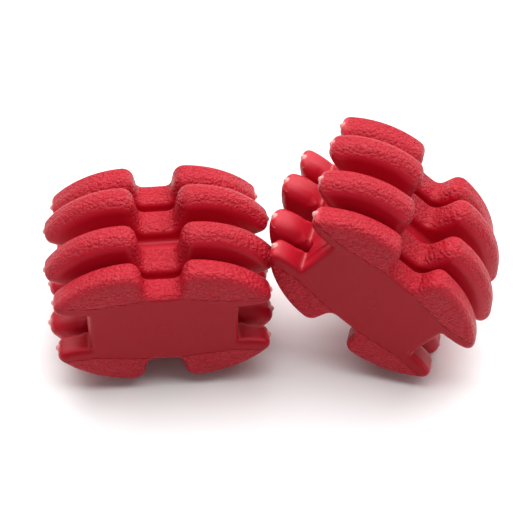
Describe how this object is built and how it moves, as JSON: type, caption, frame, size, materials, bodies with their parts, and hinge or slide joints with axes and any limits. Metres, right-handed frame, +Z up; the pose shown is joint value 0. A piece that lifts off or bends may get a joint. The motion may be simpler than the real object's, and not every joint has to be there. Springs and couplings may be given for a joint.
{
  "type": "split limb bow damper pair",
  "caption": "Pair of red moulded rubber vibration dampers for a split-limb bow, with flexing lobes and side slots that grip the limb halves.",
  "frame": {"origin": "centre of the pair's footprint, on the surface that both dampers stand on", "axes": "+X from the upright damper to the leaning one, +Y along the upright damper's depth, away from the front, +Z up"},
  "size_m": [0.0912, 0.0438, 0.0422],
  "materials": {
    "smooth_rubber": "smooth satin moulding",
    "grained_rubber": "satin moulding with a fine leather grain"
  },
  "bodies": {
    "standing_core": {"standing_core": "smooth_rubber"},
    "standing_front_upper_left_lobe": {"standing_front_upper_left_lobe": "grained_rubber"},
    "standing_front_upper_right_lobe": {"standing_front_upper_right_lobe": "grained_rubber"},
    "standing_front_lower_left_lobe": {"standing_front_lower_left_lobe": "grained_rubber"},
    "standing_front_lower_right_lobe": {"standing_front_lower_right_lobe": "grained_rubber"},
    "standing_front_mid_upper_left_lobe": {"standing_front_mid_upper_left_lobe": "grained_rubber"},
    "standing_front_mid_upper_right_lobe": {"standing_front_mid_upper_right_lobe": "grained_rubber"},
    "standing_front_mid_lower_left_lobe": {"standing_front_mid_lower_left_lobe": "grained_rubber"},
    "standing_front_mid_lower_right_lobe": {"standing_front_mid_lower_right_lobe": "grained_rubber"},
    "standing_rear_mid_upper_left_lobe": {"standing_rear_mid_upper_left_lobe": "grained_rubber"},
    "standing_rear_mid_upper_right_lobe": {"standing_rear_mid_upper_right_lobe": "grained_rubber"},
    "standing_rear_mid_lower_left_lobe": {"standing_rear_mid_lower_left_lobe": "grained_rubber"},
    "standing_rear_mid_lower_right_lobe": {"standing_rear_mid_lower_right_lobe": "grained_rubber"},
    "standing_rear_upper_left_lobe": {"standing_rear_upper_left_lobe": "grained_rubber"},
    "standing_rear_upper_right_lobe": {"standing_rear_upper_right_lobe": "grained_rubber"},
    "standing_rear_lower_left_lobe": {"standing_rear_lower_left_lobe": "grained_rubber"},
    "standing_rear_lower_right_lobe": {"standing_rear_lower_right_lobe": "grained_rubber"},
    "leaning_core": {"leaning_core": "smooth_rubber"},
    "leaning_front_upper_left_lobe": {"leaning_front_upper_left_lobe": "grained_rubber"},
    "leaning_front_upper_right_lobe": {"leaning_front_upper_right_lobe": "grained_rubber"},
    "leaning_front_lower_left_lobe": {"leaning_front_lower_left_lobe": "grained_rubber"},
    "leaning_front_lower_right_lobe": {"leaning_front_lower_right_lobe": "grained_rubber"},
    "leaning_front_mid_upper_left_lobe": {"leaning_front_mid_upper_left_lobe": "grained_rubber"},
    "leaning_front_mid_upper_right_lobe": {"leaning_front_mid_upper_right_lobe": "grained_rubber"},
    "leaning_front_mid_lower_left_lobe": {"leaning_front_mid_lower_left_lobe": "grained_rubber"},
    "leaning_front_mid_lower_right_lobe": {"leaning_front_mid_lower_right_lobe": "grained_rubber"},
    "leaning_rear_mid_upper_left_lobe": {"leaning_rear_mid_upper_left_lobe": "grained_rubber"},
    "leaning_rear_mid_upper_right_lobe": {"leaning_rear_mid_upper_right_lobe": "grained_rubber"},
    "leaning_rear_mid_lower_left_lobe": {"leaning_rear_mid_lower_left_lobe": "grained_rubber"},
    "leaning_rear_mid_lower_right_lobe": {"leaning_rear_mid_lower_right_lobe": "grained_rubber"},
    "leaning_rear_upper_left_lobe": {"leaning_rear_upper_left_lobe": "grained_rubber"},
    "leaning_rear_upper_right_lobe": {"leaning_rear_upper_right_lobe": "grained_rubber"},
    "leaning_rear_lower_left_lobe": {"leaning_rear_lower_left_lobe": "grained_rubber"},
    "leaning_rear_lower_right_lobe": {"leaning_rear_lower_right_lobe": "grained_rubber"}
  },
  "joints": [
    {"name": "standing_front_upper_left_flex", "type": "hinge", "parent": "standing_core", "child": "standing_front_upper_left_lobe", "pos_m": [-0.0328, -0.01145, 0.02245], "axis": [-0.9381, 0, -0.3465], "range_deg": [-6, 6], "stiffness_Nm_per_rad": 0.09},
    {"name": "standing_front_upper_right_flex", "type": "hinge", "parent": "standing_core", "child": "standing_front_upper_right_lobe", "pos_m": [-0.0151, -0.01145, 0.02245], "axis": [0.9381, 0, -0.3465], "range_deg": [-6, 6], "stiffness_Nm_per_rad": 0.09},
    {"name": "standing_front_lower_left_flex", "type": "hinge", "parent": "standing_core", "child": "standing_front_lower_left_lobe", "pos_m": [-0.0328, -0.01145, 0.00955], "axis": [-0.9381, 0, 0.3465], "range_deg": [-6, 6], "stiffness_Nm_per_rad": 0.09},
    {"name": "standing_front_lower_right_flex", "type": "hinge", "parent": "standing_core", "child": "standing_front_lower_right_lobe", "pos_m": [-0.0151, -0.01145, 0.00955], "axis": [0.9381, 0, 0.3465], "range_deg": [-6, 6], "stiffness_Nm_per_rad": 0.09},
    {"name": "standing_front_mid_upper_left_flex", "type": "hinge", "parent": "standing_core", "child": "standing_front_mid_upper_left_lobe", "pos_m": [-0.0328, -0.0032, 0.02245], "axis": [-0.9381, 0, -0.3465], "range_deg": [-6, 6], "stiffness_Nm_per_rad": 0.09},
    {"name": "standing_front_mid_upper_right_flex", "type": "hinge", "parent": "standing_core", "child": "standing_front_mid_upper_right_lobe", "pos_m": [-0.0151, -0.0032, 0.02245], "axis": [0.9381, 0, -0.3465], "range_deg": [-6, 6], "stiffness_Nm_per_rad": 0.09},
    {"name": "standing_front_mid_lower_left_flex", "type": "hinge", "parent": "standing_core", "child": "standing_front_mid_lower_left_lobe", "pos_m": [-0.0328, -0.0032, 0.00955], "axis": [-0.9381, 0, 0.3465], "range_deg": [-6, 6], "stiffness_Nm_per_rad": 0.09},
    {"name": "standing_front_mid_lower_right_flex", "type": "hinge", "parent": "standing_core", "child": "standing_front_mid_lower_right_lobe", "pos_m": [-0.0151, -0.0032, 0.00955], "axis": [0.9381, 0, 0.3465], "range_deg": [-6, 6], "stiffness_Nm_per_rad": 0.09},
    {"name": "standing_rear_mid_upper_left_flex", "type": "hinge", "parent": "standing_core", "child": "standing_rear_mid_upper_left_lobe", "pos_m": [-0.0328, 0.008, 0.02245], "axis": [-0.9381, 0, -0.3465], "range_deg": [-6, 6], "stiffness_Nm_per_rad": 0.09},
    {"name": "standing_rear_mid_upper_right_flex", "type": "hinge", "parent": "standing_core", "child": "standing_rear_mid_upper_right_lobe", "pos_m": [-0.0151, 0.008, 0.02245], "axis": [0.9381, 0, -0.3465], "range_deg": [-6, 6], "stiffness_Nm_per_rad": 0.09},
    {"name": "standing_rear_mid_lower_left_flex", "type": "hinge", "parent": "standing_core", "child": "standing_rear_mid_lower_left_lobe", "pos_m": [-0.0328, 0.008, 0.00955], "axis": [-0.9381, 0, 0.3465], "range_deg": [-6, 6], "stiffness_Nm_per_rad": 0.09},
    {"name": "standing_rear_mid_lower_right_flex", "type": "hinge", "parent": "standing_core", "child": "standing_rear_mid_lower_right_lobe", "pos_m": [-0.0151, 0.008, 0.00955], "axis": [0.9381, 0, 0.3465], "range_deg": [-6, 6], "stiffness_Nm_per_rad": 0.09},
    {"name": "standing_rear_upper_left_flex", "type": "hinge", "parent": "standing_core", "child": "standing_rear_upper_left_lobe", "pos_m": [-0.0328, 0.01625, 0.02245], "axis": [-0.9381, 0, -0.3465], "range_deg": [-6, 6], "stiffness_Nm_per_rad": 0.09},
    {"name": "standing_rear_upper_right_flex", "type": "hinge", "parent": "standing_core", "child": "standing_rear_upper_right_lobe", "pos_m": [-0.0151, 0.01625, 0.02245], "axis": [0.9381, 0, -0.3465], "range_deg": [-6, 6], "stiffness_Nm_per_rad": 0.09},
    {"name": "standing_rear_lower_left_flex", "type": "hinge", "parent": "standing_core", "child": "standing_rear_lower_left_lobe", "pos_m": [-0.0328, 0.01625, 0.00955], "axis": [-0.9381, 0, 0.3465], "range_deg": [-6, 6], "stiffness_Nm_per_rad": 0.09},
    {"name": "standing_rear_lower_right_flex", "type": "hinge", "parent": "standing_core", "child": "standing_rear_lower_right_lobe", "pos_m": [-0.0151, 0.01625, 0.00955], "axis": [0.9381, 0, 0.3465], "range_deg": [-6, 6], "stiffness_Nm_per_rad": 0.09},
    {"name": "leaning_damper_lift", "type": "slide", "parent": "standing_core", "child": "leaning_core", "axis": [0, 0, 1], "range_m": [0, 0.045]},
    {"name": "leaning_front_upper_left_flex", "type": "hinge", "parent": "leaning_core", "child": "leaning_front_upper_left_lobe", "pos_m": [0.01425, -0.01216, 0.03164], "axis": [-0.9002, 0.3064, 0.3095], "range_deg": [-6, 6], "stiffness_Nm_per_rad": 0.09},
    {"name": "leaning_front_upper_right_flex", "type": "hinge", "parent": "leaning_core", "child": "leaning_front_upper_right_lobe", "pos_m": [0.0274, -0.01664, 0.02067], "axis": [0.4936, -0.168, -0.8533], "range_deg": [-6, 6], "stiffness_Nm_per_rad": 0.09},
    {"name": "leaning_front_lower_left_flex", "type": "hinge", "parent": "leaning_core", "child": "leaning_front_lower_left_lobe", "pos_m": [0.00668, -0.00958, 0.02152], "axis": [-0.4936, 0.168, 0.8533], "range_deg": [-6, 6], "stiffness_Nm_per_rad": 0.09},
    {"name": "leaning_front_lower_right_flex", "type": "hinge", "parent": "leaning_core", "child": "leaning_front_lower_right_lobe", "pos_m": [0.01983, -0.01406, 0.01055], "axis": [0.9002, -0.3064, -0.3095], "range_deg": [-6, 6], "stiffness_Nm_per_rad": 0.09},
    {"name": "leaning_front_mid_upper_left_flex", "type": "hinge", "parent": "leaning_core", "child": "leaning_front_mid_upper_left_lobe", "pos_m": [0.0169, -0.00435, 0.03164], "axis": [-0.9002, 0.3064, 0.3095], "range_deg": [-6, 6], "stiffness_Nm_per_rad": 0.09},
    {"name": "leaning_front_mid_upper_right_flex", "type": "hinge", "parent": "leaning_core", "child": "leaning_front_mid_upper_right_lobe", "pos_m": [0.03005, -0.00883, 0.02067], "axis": [0.4936, -0.168, -0.8533], "range_deg": [-6, 6], "stiffness_Nm_per_rad": 0.09},
    {"name": "leaning_front_mid_lower_left_flex", "type": "hinge", "parent": "leaning_core", "child": "leaning_front_mid_lower_left_lobe", "pos_m": [0.00934, -0.00178, 0.02152], "axis": [-0.4936, 0.168, 0.8533], "range_deg": [-6, 6], "stiffness_Nm_per_rad": 0.09},
    {"name": "leaning_front_mid_lower_right_flex", "type": "hinge", "parent": "leaning_core", "child": "leaning_front_mid_lower_right_lobe", "pos_m": [0.02249, -0.00625, 0.01055], "axis": [0.9002, -0.3064, -0.3095], "range_deg": [-6, 6], "stiffness_Nm_per_rad": 0.09},
    {"name": "leaning_rear_mid_upper_left_flex", "type": "hinge", "parent": "leaning_core", "child": "leaning_rear_mid_upper_left_lobe", "pos_m": [0.02051, 0.00625, 0.03164], "axis": [-0.9002, 0.3064, 0.3095], "range_deg": [-6, 6], "stiffness_Nm_per_rad": 0.09},
    {"name": "leaning_rear_mid_upper_right_flex", "type": "hinge", "parent": "leaning_core", "child": "leaning_rear_mid_upper_right_lobe", "pos_m": [0.03366, 0.00178, 0.02067], "axis": [0.4936, -0.168, -0.8533], "range_deg": [-6, 6], "stiffness_Nm_per_rad": 0.09},
    {"name": "leaning_rear_mid_lower_left_flex", "type": "hinge", "parent": "leaning_core", "child": "leaning_rear_mid_lower_left_lobe", "pos_m": [0.01295, 0.00883, 0.02152], "axis": [-0.4936, 0.168, 0.8533], "range_deg": [-6, 6], "stiffness_Nm_per_rad": 0.09},
    {"name": "leaning_rear_mid_lower_right_flex", "type": "hinge", "parent": "leaning_core", "child": "leaning_rear_mid_lower_right_lobe", "pos_m": [0.0261, 0.00435, 0.01055], "axis": [0.9002, -0.3064, -0.3095], "range_deg": [-6, 6], "stiffness_Nm_per_rad": 0.09},
    {"name": "leaning_rear_upper_left_flex", "type": "hinge", "parent": "leaning_core", "child": "leaning_rear_upper_left_lobe", "pos_m": [0.02317, 0.01406, 0.03164], "axis": [-0.9002, 0.3064, 0.3095], "range_deg": [-6, 6], "stiffness_Nm_per_rad": 0.09},
    {"name": "leaning_rear_upper_right_flex", "type": "hinge", "parent": "leaning_core", "child": "leaning_rear_upper_right_lobe", "pos_m": [0.03632, 0.00958, 0.02067], "axis": [0.4936, -0.168, -0.8533], "range_deg": [-6, 6], "stiffness_Nm_per_rad": 0.09},
    {"name": "leaning_rear_lower_left_flex", "type": "hinge", "parent": "leaning_core", "child": "leaning_rear_lower_left_lobe", "pos_m": [0.0156, 0.01664, 0.02152], "axis": [-0.4936, 0.168, 0.8533], "range_deg": [-6, 6], "stiffness_Nm_per_rad": 0.09},
    {"name": "leaning_rear_lower_right_flex", "type": "hinge", "parent": "leaning_core", "child": "leaning_rear_lower_right_lobe", "pos_m": [0.02875, 0.01216, 0.01055], "axis": [0.9002, -0.3064, -0.3095], "range_deg": [-6, 6], "stiffness_Nm_per_rad": 0.09}
  ]
}
